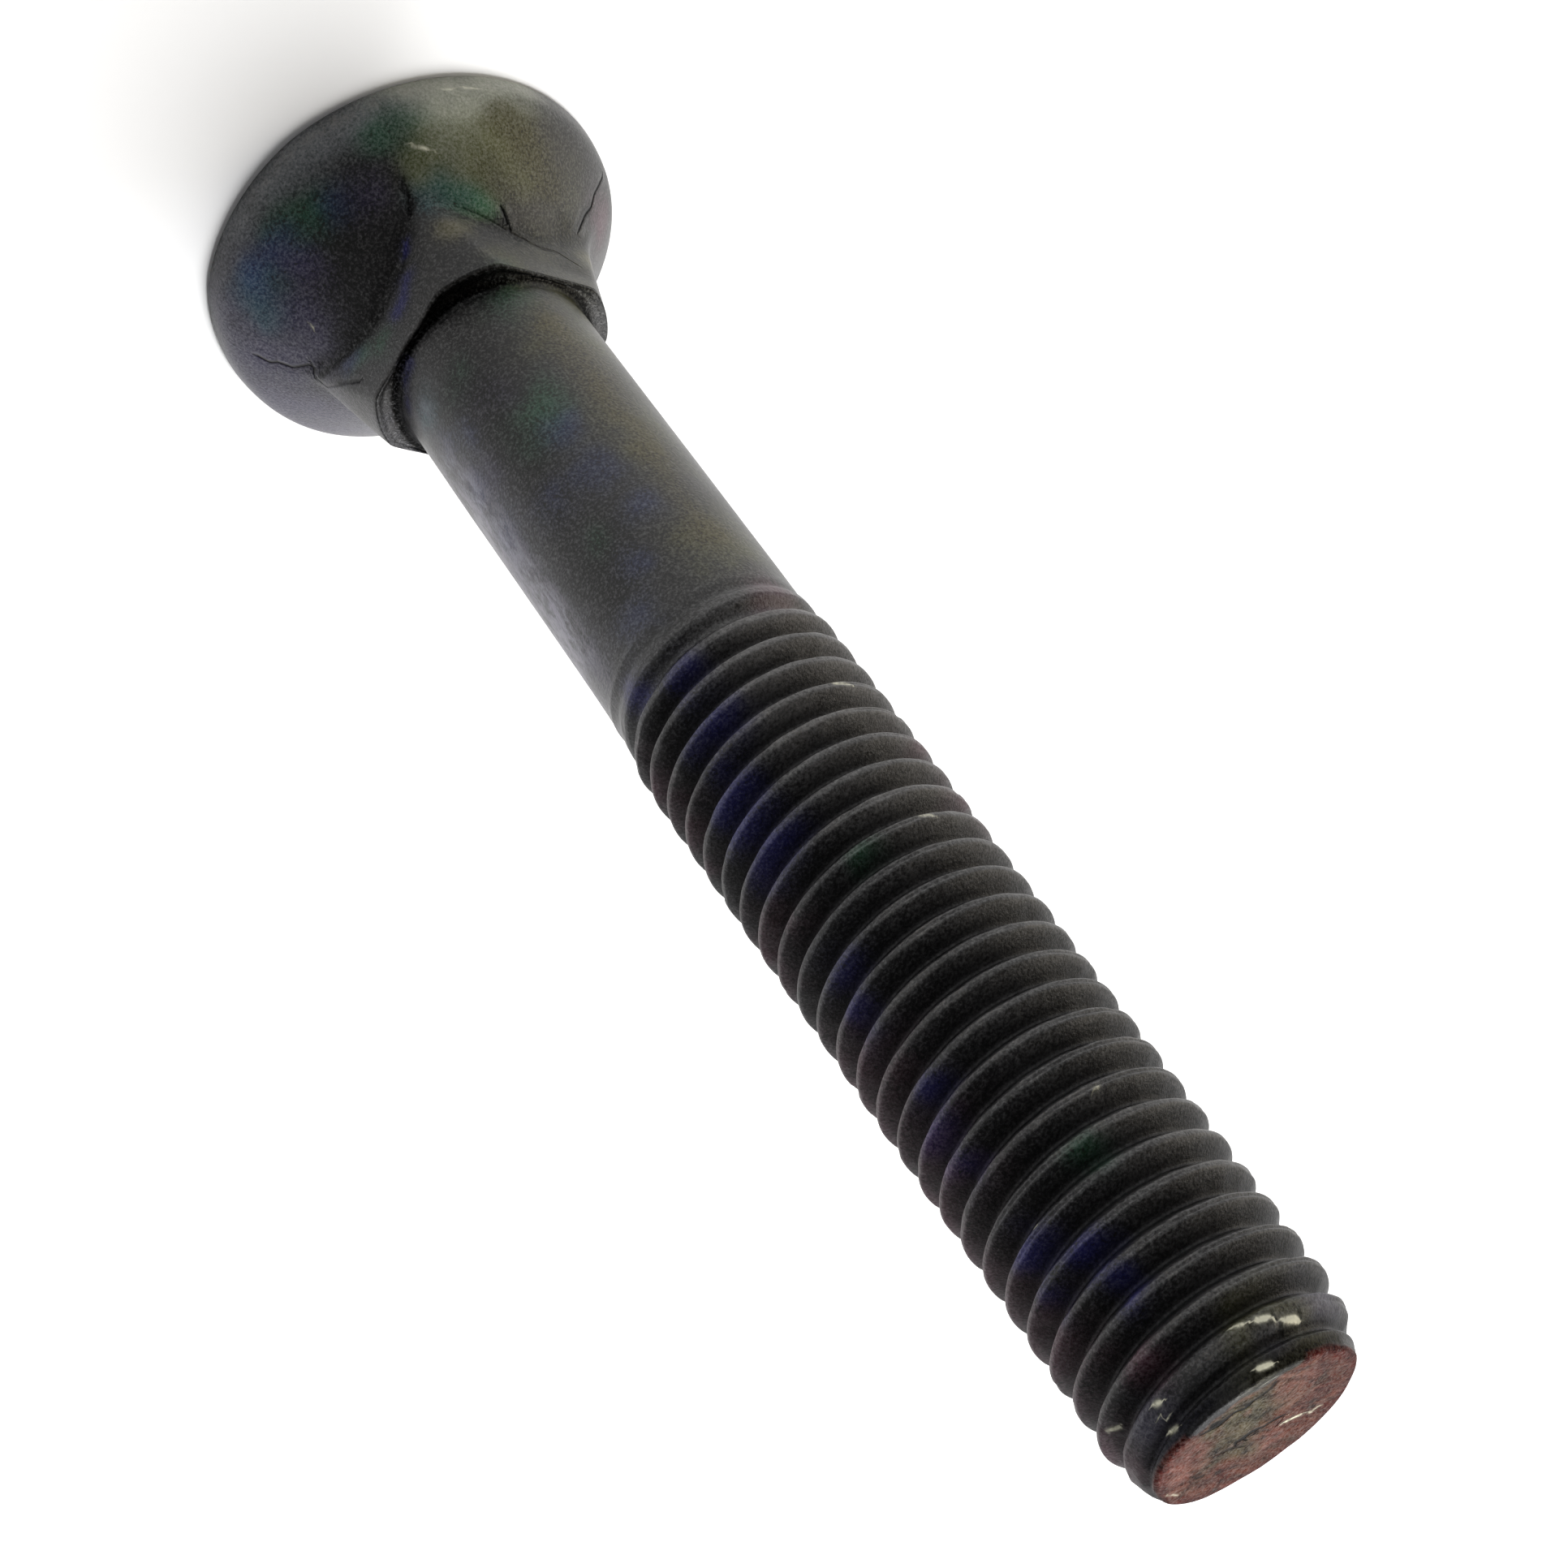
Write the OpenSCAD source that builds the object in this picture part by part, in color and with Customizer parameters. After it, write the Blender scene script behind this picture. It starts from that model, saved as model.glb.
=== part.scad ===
// Plow bolt: countersunk round head, square neck with turned corners, plain shank and a rolled right-hand thread.
// It stands on the flat face of its head. The origin is at the centre of that face, and +Z runs to the point.

/* [Bolt] */
// Overall length, from the face of the head to the highest edge of the point
bolt_len = 69.3; // [60:0.1:120]
// Diameter of the plain shank between the neck and the thread
shank_d = 9.25; // [8.8:0.05:9.6]
// Radius of the fillet where the shank leaves the neck
shank_fillet = 0.4; // [0.2:0.05:0.6]

/* [Head] */
// Greatest diameter of the head
head_d = 20.2; // [18:0.1:24]
// Height of the land round the rim, before its edges are rounded
rim_h = 1.1; // [1:0.1:2]
// Radius of the edge between the face and the rim
face_edge_r = 0.3; // [0.1:0.05:0.5]
// Radius of the blend from the rim into the cone
rim_blend_r = 1.5; // [0.3:0.1:2]
// Included angle of the countersunk cone
head_angle = 90; // [80:1:100]

/* [Neck] */
// Width across the flats of the square neck
neck_w = 10.1; // [9.8:0.1:10.6]
// Depth of head and square together, from the face of the head to the end of the neck
neck_end = 8.8; // [8.4:0.1:12]
// Diameter across the rounded corners at the end of the neck
corner_d = 11.4; // [11:0.1:12.5]
// Taper of the corners towards the point, as an angle from the axis
corner_taper = 15; // [5:1:20]
// Radius of the blend from the corners into the cone of the head
corner_blend_r = 2.5; // [1:0.5:4]

/* [Thread] */
// Major diameter, over the crests
thread_d = 10; // [9.8:0.1:11]
// Pitch of the thread
pitch = 1.5; // [1:0.05:1.75]
// Length of the threaded part, with its run-out and the point
thread_len = 40.5; // [20:0.1:45]
// Length over which the crests rise from the shank, in turns
rise_turns = 2; // [1:0.25:3]
// Direction in which the groove starts, as an angle from +X
start_angle = 261; // [0:1:359]

/* [Point] */
// Diameter of the end of the point
point_d = 8.3; // [8.25:0.05:9]
// Length of the tapered point
point_len = 2.4; // [1:0.1:4]
// Tilt of the end, where the bar was sheared a little off square
shear_tilt = 4.5; // [0:0.5:8]
// Direction of the highest edge of the end, as an angle from +X
shear_angle = 80; // [0:1:359]

/* [Hidden] */

steel = "#3d3c3b";
round_fn = 96;       // facets that stand for a true circle
turn_steps = 24;     // steps of the thread groove in one turn
arc_steps = 5;       // steps of each rounded edge

head_r = head_d / 2;
shank_r = shank_d / 2;
corner_r = corner_d / 2;
thread_r = thread_d / 2;
point_r = point_d / 2;

// The countersunk cone runs from the rim towards the axis, at half of its included angle.
cone_slope = tan(head_angle / 2);
function cone_z(r) = rim_h + (head_r - r) / cone_slope;

// Metric thread form: a sharp V of height sharp_h, an eighth of it cut off the crest and a sixth off the root.
flank_angle = 30;
sharp_h = pitch / (2 * tan(flank_angle));
root_r = thread_r - sharp_h * (1 - 1 / 8 - 1 / 6);
root_half = pitch / 12;
thread_start = bolt_len - thread_len;
rise_len = rise_turns * pitch;

// The point tapers on for half a pitch past its end, for the shear to cut through.
stub_len = pitch / 2;
stub_r = point_r - (thread_r - point_r) * stub_len / point_len;

// The groove stands a little proud of the crests, so that it cuts cleanly and its turns don't meet.
groove_r = thread_r + pitch / 16;
groove_steps = ceil((thread_len / pitch + 1) * turn_steps);

function unit(v) = v / norm(v);

// Points of an arc of radius r that rounds the corner b of the path a, b, c.
function rounded(a, b, c, r) =
    let (u = unit(a - b), v = unit(c - b))
    let (half = acos(u * v) / 2, sweep = 180 - 2 * half)
    let (mid = b + unit(u + v) * r / sin(half))
    let (p = b + u * r / tan(half) - mid, q = b + v * r / tan(half) - mid)
    [for (i = [0:arc_steps]) let (s = i / arc_steps)
        mid + (p * sin(sweep * (1 - s)) + q * sin(sweep * s)) / sin(sweep)];

// Half outline of the head, from the middle of its face round the rim and down the cone.
module head() {
    rim_low = [head_r, 0];
    rim_high = [head_r, rim_h];
    cone_end = [shank_r / 2, cone_z(shank_r / 2)];
    rotate_extrude($fn = round_fn) polygon(concat(
        [[0, 0]],
        rounded([0, 0], rim_low, rim_high, face_edge_r),
        rounded(rim_low, rim_high, cone_end, rim_blend_r),
        [cone_end, [0, cone_end[1]]]
    ));
}

// The corners of the neck are turned: a tapered collar that flares a little steeper than the cone it meets.
collar_slope = tan(corner_taper);
flare_slope = tan(head_angle / 2 - 5);
collar_z = (head_r - corner_r + rim_h * cone_slope - neck_end * collar_slope) / (cone_slope - collar_slope);
collar_r = corner_r + (neck_end - collar_z) * collar_slope;

module collar() {
    flare_start = [collar_r + (collar_z - rim_h) * flare_slope, rim_h];
    rotate_extrude($fn = round_fn) polygon(concat(
        [[0, rim_h], flare_start],
        rounded(flare_start, [collar_r, collar_z], [corner_r, neck_end], corner_blend_r),
        [[corner_r, neck_end], [0, neck_end]]
    ));
}

module square_neck() {
    intersection() {
        translate([-neck_w / 2, -neck_w / 2, rim_h]) cube([neck_w, neck_w, neck_end - rim_h]);
        collar();
    }
}

// One turned outline: the plain shank with a fillet at the neck, the rise to the crests, the thread and the point.
module blank() {
    corner = [shank_r, neck_end];
    rotate_extrude($fn = round_fn) polygon(concat(
        [[0, rim_h], [shank_r, rim_h], [shank_r, neck_end - shank_fillet]],
        rounded([head_r, neck_end], corner, [shank_r, thread_start], shank_fillet),
        [[shank_r, thread_start], [thread_r, thread_start + rise_len], [thread_r, bolt_len - point_len]],
        [[stub_r, bolt_len + stub_len], [0, bolt_len + stub_len]]
    ));
}

// What the shear took off: everything above a tilted plane through the highest edge of the point.
module shear_cut() {
    rotate([0, 0, shear_angle]) translate([point_r, 0, bolt_len]) rotate([0, -shear_tilt, 0])
        translate([-3 * thread_r, -2 * thread_r, 0]) cube([4 * thread_r, 4 * thread_r, 2 * thread_r]);
}

// One section of the groove. Its floor sinks to the root while the crests rise, and its flanks keep their angle.
function groove_section(i) =
    let (turns = i / turn_steps, a = start_angle + 360 * turns, z = thread_start + pitch * turns)
    let (floor_r = root_r + (shank_r + pitch / 16 - root_r) * max(0, 1 - turns / rise_turns))
    let (top_half = root_half + (groove_r - floor_r) * tan(flank_angle))
    [for (p = [[groove_r, -top_half], [floor_r, -root_half], [floor_r, root_half], [groove_r, top_half]])
        [p[0] * cos(a), p[0] * sin(a), z + p[1]]];

module thread_groove() {
    last = 4 * groove_steps;
    polyhedron(
        points = [for (i = [0:groove_steps]) each groove_section(i)],
        faces = concat(
            [[0, 1, 2, 3], [last + 3, last + 2, last + 1, last]],
            [for (i = [0:groove_steps - 1], k = [0:3])
                let (a = 4 * i + k, b = 4 * i + (k + 1) % 4)
                each [[a, a + 4, b], [b, a + 4, b + 4]]]
        ),
        convexity = 20
    );
}

module plow_bolt() {
    color(steel) difference() {
        union() {
            head();
            square_neck();
            blank();
        }
        thread_groove();
        shear_cut();
    }
}

plow_bolt();
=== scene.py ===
import bmesh
import bpy
import numpy as np
from mathutils import Matrix, Vector


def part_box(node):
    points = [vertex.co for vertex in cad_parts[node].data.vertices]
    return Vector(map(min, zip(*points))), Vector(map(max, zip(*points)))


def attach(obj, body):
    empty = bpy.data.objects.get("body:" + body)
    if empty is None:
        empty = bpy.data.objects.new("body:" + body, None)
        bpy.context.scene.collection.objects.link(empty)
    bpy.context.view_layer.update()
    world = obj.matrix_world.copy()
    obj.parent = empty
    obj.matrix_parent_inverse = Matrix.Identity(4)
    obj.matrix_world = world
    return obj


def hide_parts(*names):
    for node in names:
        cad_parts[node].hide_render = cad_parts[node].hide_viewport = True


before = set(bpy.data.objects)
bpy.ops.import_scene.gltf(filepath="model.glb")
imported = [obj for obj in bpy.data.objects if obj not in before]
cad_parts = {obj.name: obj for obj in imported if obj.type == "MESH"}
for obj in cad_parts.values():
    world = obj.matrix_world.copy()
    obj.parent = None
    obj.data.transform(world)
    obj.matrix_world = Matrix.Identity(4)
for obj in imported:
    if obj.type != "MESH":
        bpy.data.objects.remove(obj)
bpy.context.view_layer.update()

mm = 0.001
turn = 2 * np.pi
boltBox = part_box("plow_bolt")
headLimit = boltBox[1][0] / mm - 0.012      # just inside the solid's head radius, along X
boltEnd = boltBox[1][2] / mm                # highest edge of the solid's sheared end


def colour(hexCode):
    # sRGB hex to linear: c / 12.92 below 0.04045, else ((c + 0.055) / 1.055) ^ 2.4
    parts = [int(hexCode[i:i + 2], 16) / 255 for i in (1, 3, 5)]
    return [p / 12.92 if p <= 0.04045 else ((p + 0.055) / 1.055) ** 2.4 for p in parts] + [1.0]


def addNode(tree, kind, settings=None, inputs=None, stops=None):
    # one node with its settings, its inputs (a number, a colour or a link) and a ramp's stops
    item = tree.nodes.new(kind)
    for name, value in (settings or {}).items():
        setattr(item, name, value)
    for name, value in (inputs or {}).items():
        if isinstance(value, bpy.types.NodeSocket):
            tree.links.new(value, item.inputs[name])
        else:
            item.inputs[name].default_value = value
    for n, (position, hexCode) in enumerate(stops or []):
        stop = item.color_ramp.elements[n] if n < 2 else item.color_ramp.elements.new(position)
        stop.position, stop.color = position, colour(hexCode)
    return item


def smoothMax(a, b, width):
    # the larger of two, with the corner between them rounded over width
    return (a + b + np.sqrt((a - b) ** 2 + width ** 2)) / 2


def smoothMin(a, b, width):
    return (a + b - np.sqrt((a - b) ** 2 + width ** 2)) / 2


def fade(value, start, end):
    # 0 before start, 1 after end, smooth between: 3 t^2 - 2 t^3
    t = np.clip((value - start) / (end - start), 0, 1)
    return t * t * (3 - 2 * t)


def bumps(angle, height, around, tall, seed):
    # smooth random swells from -1 to 1: a lattice of random values, "around" cells round the bolt
    # and "tall" mm high, blended between its points by 3 t^2 - 2 t^3. Each use has its own seed.
    lattice = np.random.default_rng(seed).uniform(-1, 1, (256, around))
    u, v = angle / turn * around, height / tall + 20
    i, j = np.floor(u).astype(int), np.floor(v).astype(int)
    s, t = fade(u - i, 0, 1), fade(v - j, 0, 1)
    west, east = i % around, (i + 1) % around
    low = lattice[j % 256, west] * (1 - s) + lattice[j % 256, east] * s
    high = lattice[(j + 1) % 256, west] * (1 - s) + lattice[(j + 1) % 256, east] * s
    return low * (1 - t) + high * t


def towards(angle, degrees):
    # cosine of the turn between each angle and a direction
    return np.cos(angle - np.radians(degrees))


def turnFrom(angle, degrees):
    # the turn from a direction to each angle, from minus half a turn to half a turn
    return (angle - np.radians(degrees) + np.pi) % turn - np.pi


# sizes in mm
bolt = {
    "columns": 160,          # points round the bolt
    "faceEdge": 0.3,         # radius of the edge between face and rim
    "rimRound": 0.7,         # how far the rim is rounded into the cone
    "rimSwell": 0.09,        # what that rounding takes off the rim, given back
    "coneFoot": 11.14,       # radius the 45 degree cone would have at the face
    "flat": 5.05,            # from the axis to a flat of the neck
    "neckEnd": 8.8,
    "neckEdge": 0.12,        # radius of the edge round the neck's end
    "neckSink": 0.10,        # how far the neck's end is dished
    "neckRound": 0.55,       # how softly the neck's corners rise out of the cone
    "cornerRadius": 5.72,    # rounded corner of the neck at its end
    "cornerTaper": 0.268,    # tan 15 degrees
    "fillet": 0.3,           # where the shank leaves the neck
    "shank": 4.63,
    "lean": 0.07,            # how far the shank lies off the head's axis
    "pointLean": 0.168,      # how far the point leans back the other way
    "leanTowards": -30.8,
    "threadStart": 28.8,
    "crest": 5.0,
    "root": 4.08,
    "pitch": 1.5,
    "crestAtX": 1.4625,      # height of a crest at +X, less whole pitches
    "flankTop": 5.26,        # radius at which the flanks of a crest would meet
    "crestRound": 0.09,      # how softly the flanks turn into the crest
    "rootRound": 0.18,       # and into the root
    "seam": 0.07,            # deepest place of the seam along a rolled crest
    "nick": 0.12,            # what the deepest nick would take off a crest
    "batter": 0.05,          # half of what the last crests have lost
    "pointStart": 66.785,
    "pointRadius": 4.0,
    "endEdge": 0.22,         # radius of the edge round the sheared end
    "endSink": 0.05,         # how far the sheared end is dished
    "endBroken": 0.04,       # half of how deep it is broken
    "shearTilt": 0.060,      # 3.4 degrees
    "shearTowards": 62.6,
}
# forged head's radius: mean, then cosine and sine of 1, 2, 3 and 4 lobes
headLobes = [9.805, 0.095, 0.156, -0.144, -0.126, -0.114, -0.077, 0.058, 0.046]


def headRadius(angle):
    radius = headLobes[0] + 0 * angle
    for n in range(1, 5):
        radius += headLobes[2 * n - 1] * np.cos(n * angle) + headLobes[2 * n] * np.sin(n * angle)
    return smoothMin(radius, headLimit, 0.02)


def neckRadius(angle, height):
    # a square with its corners turned: the nearer of flat / cos and the tapered corner radius
    toFlat = bolt["flat"] / np.maximum(np.abs(np.cos(angle)), np.abs(np.sin(angle)))
    corner = bolt["cornerRadius"] + (bolt["neckEnd"] - height) * bolt["cornerTaper"]
    return smoothMin(toFlat, corner, 0.12)


def coneRadius(angle, height):
    # cone of 45 degrees that takes up the rim's lobes and loses them towards the neck
    lobes = (headRadius(angle) - 9.74) * (1 - 0.7 * fade(height, 1.4, 6.5))
    return bolt["coneFoot"] - height + lobes


def centreLine(height):
    # the shank lies a little off the head's axis, and the point leans back the other way
    off = bolt["lean"] * fade(height, bolt["neckEnd"], bolt["neckEnd"] + 0.6) * (1 - fade(height, 26, 34))
    off = off - bolt["pointLean"] * fade(height, 66, 69)
    return off * np.cos(np.radians(bolt["leanTowards"])), off * np.sin(np.radians(bolt["leanTowards"]))


def endHeight(angle, radius):
    # the sheared end: a plane tilted towards its highest edge, broken a little all over
    rise = radius * towards(angle, bolt["shearTowards"]) - bolt["pointRadius"]
    broken = 1 + bumps(radius * np.cos(angle), radius * np.sin(angle), 7, 0.9, 9)
    return boltEnd - 0.01 + rise * bolt["shearTilt"] - bolt["endBroken"] * broken


def threadTop(angle):
    # where the thread stops and the rounded edge of the sheared end begins
    return endHeight(angle, bolt["pointRadius"]) - bolt["endEdge"]


def shankRadius(angle, height):
    return bolt["shank"] + 0.012 * bumps(angle, height, 7, 5.0, 3)


def fromCrest(angle, height):
    # how far along the bolt the nearest crest is, in pitches: 0 on a crest and 0.5 in a root
    phase = (height - bolt["crestAtX"]) / bolt["pitch"] - angle / turn
    return np.abs((phase + 0.5) % 1 - 0.5)


def threadRadius(angle, height):
    # flanks of 60 degrees about the helix, cut off at the crest and the root, which both move
    # from the shank's radius over the first turns; the crest then falls away over the point
    q = fromCrest(angle, height)
    begin = bolt["threadStart"] + 0.5 * towards(angle, 149)
    uneven = 1 - 0.25 * fade(height, 34.5, 31) * (1 + bumps(angle, height, 17, 0.9, 29))
    risen = fade(height, begin, begin + 3.6) * uneven
    sunk = fade(height, begin - 0.2, begin + 4.0)
    crest = bolt["shank"] + (bolt["crest"] - bolt["shank"]) * risen
    root = bolt["shank"] + (bolt["root"] - bolt["shank"]) * sunk
    point = np.clip((height - bolt["pointStart"]) / (boltEnd - bolt["pointStart"]), 0, 1.2)
    crest = crest - (bolt["crest"] - bolt["pointRadius"]) * point ** 1.3
    crest = crest + 0.02 * bumps(angle, height, 11, 3.0, 5) + 0.015 * bumps(angle, height, 31, 1.1, 31)
    flanks = bolt["flankTop"] + 0.05 * bumps(angle, height, 41, 0.7, 10) - q * bolt["pitch"] * np.sqrt(3)
    ridge = smoothMin(flanks, crest, bolt["crestRound"])
    # a rolled crest closes with a shallow seam along its middle, deeper in some places than others
    seam = fade(bumps(angle, height, 9, 4.0, 6), -0.5, 0.4) * np.exp(-(q / 0.035) ** 2)
    seam = seam * fade(height, 33, 38) * fade(towards(angle, 25), -0.2, 0.6)
    nicks = np.clip(bumps(angle, height, 37, 1.1, 7) - 0.6, 0, 1) * fade(q, 0.16, 0.05)
    battered = fade(height, 66.6, 67.6) * (1 + bumps(angle, height, 31, 0.45, 8)) * fade(q, 0.3, 0.1)
    ridge = ridge - bolt["seam"] * seam - bolt["nick"] * nicks - bolt["batter"] * battered
    thread = smoothMax(ridge, root, bolt["rootRound"])
    begun = fade(height, bolt["threadStart"], bolt["threadStart"] + 0.9)
    return shankRadius(angle, height) * (1 - begun) + thread * begun


def stackRows(rows, angle):
    # rows of (radius, height), each a number or one value per column, as two full grids
    full = [[np.broadcast_to(value, angle.shape) for value in row] for row in rows]
    return np.array([r for r, z in full]), np.array([z for r, z in full])


def shoulderRadius(angle, height):
    # the head from its rounded rim up: the lesser of rim and cone, then the greater of that and the
    # neck. One corner of the neck is sharper than the others.
    outer = smoothMin(headRadius(angle) + bolt["rimSwell"], coneRadius(angle, height), bolt["rimRound"])
    soft = bolt["neckRound"] - 0.38 * fade(towards(angle, 92), 0.55, 0.85)
    return smoothMax(np.minimum(outer, headLimit), neckRadius(angle, height), soft)


def bodyRows(angle):
    # from the middle of the face to the start of the thread, one row of the grid at a time
    faceEdge, neckEdge, fillet = bolt["faceEdge"], bolt["neckEdge"], bolt["fillet"]
    rim = shoulderRadius(angle, faceEdge + 0 * angle)
    rows = [(rim * t, 0) for t in (0.001, 0.1, 0.25, 0.4, 0.55, 0.7, 0.82, 0.9)]
    for s in np.linspace(0, np.pi / 2, 6):                       # rounded edge of the face
        rows.append((rim - faceEdge * (1 - np.sin(s)), faceEdge * (1 - np.cos(s))))
    for height in np.linspace(faceEdge, bolt["neckEnd"] - neckEdge, 76)[1:]:
        z = height + 0 * angle
        rows.append((shoulderRadius(angle, z), z))
    neck = rows[-1][0]
    for s in np.linspace(0, np.pi / 2, 4)[1:]:                   # rounded edge of the neck's end
        rows.append((neck - neckEdge * (1 - np.cos(s)), bolt["neckEnd"] - neckEdge * (1 - np.sin(s))))
    neck = rows[-1][0]
    foot = bolt["shank"] + fillet
    for s in (0.25, 0.5, 0.75):
        rows.append((neck + (foot - neck) * s, bolt["neckEnd"] - bolt["neckSink"] * np.sin(np.pi * s)))
    for s in np.linspace(0, np.pi / 2, 5):
        rows.append((foot - fillet * np.sin(s), bolt["neckEnd"] + fillet * (1 - np.cos(s))))
    for height in np.linspace(bolt["neckEnd"] + fillet, bolt["threadStart"], 36)[1:]:
        z = height + 0 * angle
        rows.append((shankRadius(angle, z), z))
    return stackRows(rows, angle)


def endRows(angle):
    # from the end of the thread over a rounded edge to the middle of the sheared face
    edge, sink = bolt["endEdge"], bolt["endSink"]
    rim = threadRadius(angle, threadTop(angle))
    rows = [(rim, threadTop(angle))]
    for s in np.linspace(0, np.pi / 2, 5)[1:]:
        rows.append((rim - edge * (1 - np.cos(s)), endHeight(angle, rim) - edge * (1 - np.sin(s))))
    for t in np.linspace(1, 0, 20)[1:-1]:
        radius = (rim - edge) * t
        rows.append((radius, endHeight(angle, radius) - sink * fade(t, 0.95, 0.7)))
    rows.append((0.004, endHeight(angle, 0) - sink))
    return stackRows(rows, angle)


def place(angle, radius, height):
    offX, offY = centreLine(height)
    return np.stack([radius * np.cos(angle) + offX, radius * np.sin(angle) + offY, height], axis=-1)


def ringFaces(first, rows, columns):
    # quads between neighbouring rows of a grid that closes round the bolt
    i, j = np.meshgrid(np.arange(rows - 1), np.arange(columns), indexing="ij")
    a = first + i * columns + j
    b = first + i * columns + (j + 1) % columns
    return np.stack([a, b, b + columns, a + columns], axis=-1).reshape(-1, 4)


def threadGrid(columns):
    # a ribbon one pitch wide that climbs with the helix, so that its rows run along crest and root.
    # Its lower edge is the groove's middle line, held between the shank's last ring and the end.
    across = np.array([0, 0.06, 0.13, 0.25, 0.38, 0.43, 0.465, 0.5, 0.535, 0.57, 0.62, 0.75, 0.87, 0.94])
    groove = bolt["crestAtX"] + bolt["pitch"] / 2
    first = groove + bolt["pitch"] * (np.floor((bolt["threadStart"] - groove) / bolt["pitch"]) - 1)
    steps = int(np.ceil((boltEnd - first) / bolt["pitch"] + 1) * columns)
    angle = np.arange(steps + columns) * turn / columns
    line = np.clip(first + bolt["pitch"] * angle / turn, bolt["threadStart"], threadTop(angle))
    low, high = line[:steps, None], line[columns:, None]
    height = low + (high - low) * across
    turned = np.repeat(angle[:steps, None], len(across), axis=1) % turn
    points = place(turned, threadRadius(turned, height), height)
    lastTurn = angle[steps:] % turn
    closing = place(lastTurn, threadRadius(lastTurn, line[steps:]), line[steps:])
    k, m = np.meshgrid(np.arange(steps - 1), np.arange(len(across)), indexing="ij")

    def index(step, row):
        wrapped = step + (row == len(across)) * columns
        onRibbon = wrapped * len(across) + row % len(across)
        return np.where(wrapped < steps, onRibbon, steps * len(across) + wrapped - steps)

    faces = np.stack([index(k, m), index(k + 1, m), index(k + 1, m + 1), index(k, m + 1)], axis=-1)
    return np.vstack([points.reshape(-1, 3), closing]), faces.reshape(-1, 4)


def boltMesh():
    columns = bolt["columns"]
    angle = np.arange(columns) * turn / columns
    body = place(angle, *bodyRows(angle))
    thread, threadFaces = threadGrid(columns)
    end = place(angle, *endRows(angle))
    points = np.vstack([body.reshape(-1, 3), thread, end.reshape(-1, 3)])
    bodyCount, threadCount = body.shape[0] * columns, len(thread)
    faces = np.vstack([
        ringFaces(0, body.shape[0], columns),
        threadFaces + bodyCount,
        ringFaces(bodyCount + threadCount, end.shape[0], columns),
    ])
    caps = [list(range(columns))[::-1],
            list(range(len(points) - columns, len(points)))]
    return points, faces, caps


def buildBolt():
    points, faces, caps = boltMesh()
    mesh = bpy.data.meshes.new("forgedBolt")
    mesh.from_pydata((points * mm).tolist(), [], faces.tolist() + caps)
    work = bmesh.new()
    work.from_mesh(mesh)
    bmesh.ops.remove_doubles(work, verts=work.verts, dist=0.0006 * mm)     # joins thread to shank and end
    bmesh.ops.recalc_face_normals(work, faces=work.faces)
    work.to_mesh(mesh)
    work.free()
    mesh.shade_smooth()
    piece = bpy.data.objects.new("forgedBolt", mesh)
    bpy.context.scene.collection.objects.link(piece)
    return piece


forgedBolt = buildBolt()
print("bolt: triangles", sum(len(p.vertices) - 2 for p in forgedBolt.data.polygons))


# forging laps and painted glints on head and thread as lines of (azimuth, height), and tears in the sheared
# end as lines of (x, y), each with its depth in tenths of a mm. More than 1 makes it wider and no deeper,
# and
# a negative depth is a pale streak: a painted glint, and on the head a few are pale scuffs.
lapsAndGlints = {
    "head": [
        (1.0, [(129.7, 2.40), (131.9, 2.80), (131.0, 3.10), (132.5, 3.61), (129.0, 4.32), (134.7, 4.52)]),
        (0.35, [(47.0, 3.30), (49.5, 3.75), (47.9, 4.18), (51.0, 4.70)]),
        (1.0, [(11.6, 5.15), (10.2, 5.45), (9.4, 5.80), (7.9, 6.02)]),
        (1.0, [(320.8, 1.80), (322.4, 2.72), (321.6, 3.20), (323.6, 3.71), (324.5, 4.45)]),
        (0.35, [(29.5, 5.10), (22.9, 5.38), (7.9, 6.04), (351.9, 6.43), (340.7, 6.30), (331.1, 6.92)]),
        (0.6, [(134.5, 4.64), (135.3, 5.26), (126.4, 6.47), (119.9, 7.34)]),
        (-0.5, [(36.4, 2.88), (34.2, 3.02)]),
        (-0.4, [(39.4, 2.72), (38.2, 2.80)]),
        (-0.45, [(19.0, 0.98), (14.5, 1.02)]),
        (-0.35, [(24.5, 0.98), (22.5, 1.02)]),
        (-0.6, [(110.4, 4.38), (110.9, 4.42)]),
    ],
    "side": [
        (-1.8, [(34.0, 67.55), (28.0, 67.63)]),
        (-1.8, [(21.5, 67.86), (15.0, 67.94)]),
        (-1.2, [(43.0, 67.42), (40.0, 67.46)]),
        (-1.3, [(43.0, 68.88), (37.0, 68.93)]),
        (-1.0, [(90.0, 67.76), (87.5, 67.80)]),
        (-0.9, [(95.0, 68.62), (91.0, 68.70)]),
        (-1.1, [(123.0, 66.82), (121.0, 66.88)]),
        (-0.7, [(31.0, 57.18), (32.5, 57.22)]),
        (-0.7, [(89.5, 59.95), (88.0, 60.00)]),
        (-0.8, [(14.0, 35.92), (5.0, 36.04)]),
        (-0.6, [(21.0, 43.44), (15.0, 43.54)]),
    ],
    "end": [
        (1.6, [(0.35, 3.30), (0.63, 2.71), (1.06, 2.30), (1.50, 1.95)]),
        (0.9, [(1.60, 1.85), (2.10, 1.60), (2.60, 1.70)]),
        (1.5, [(-0.50, 0.30), (-0.09, -0.21), (0.13, -0.76), (0.35, -1.15)]),
        (0.8, [(-1.20, 0.60), (-1.02, 0.10), (-1.10, -0.40)]),
        (0.8, [(-2.55, 1.15), (-2.75, 0.55)]),
        (-0.9, [(-0.10, -1.80), (0.10, -2.25), (0.16, -2.40)]),
        (-0.6, [(0.30, -2.85), (0.48, -3.10)]),
        (-0.4, [(-3.40, 1.60), (-3.55, 1.25)]),
    ],
}


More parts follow.
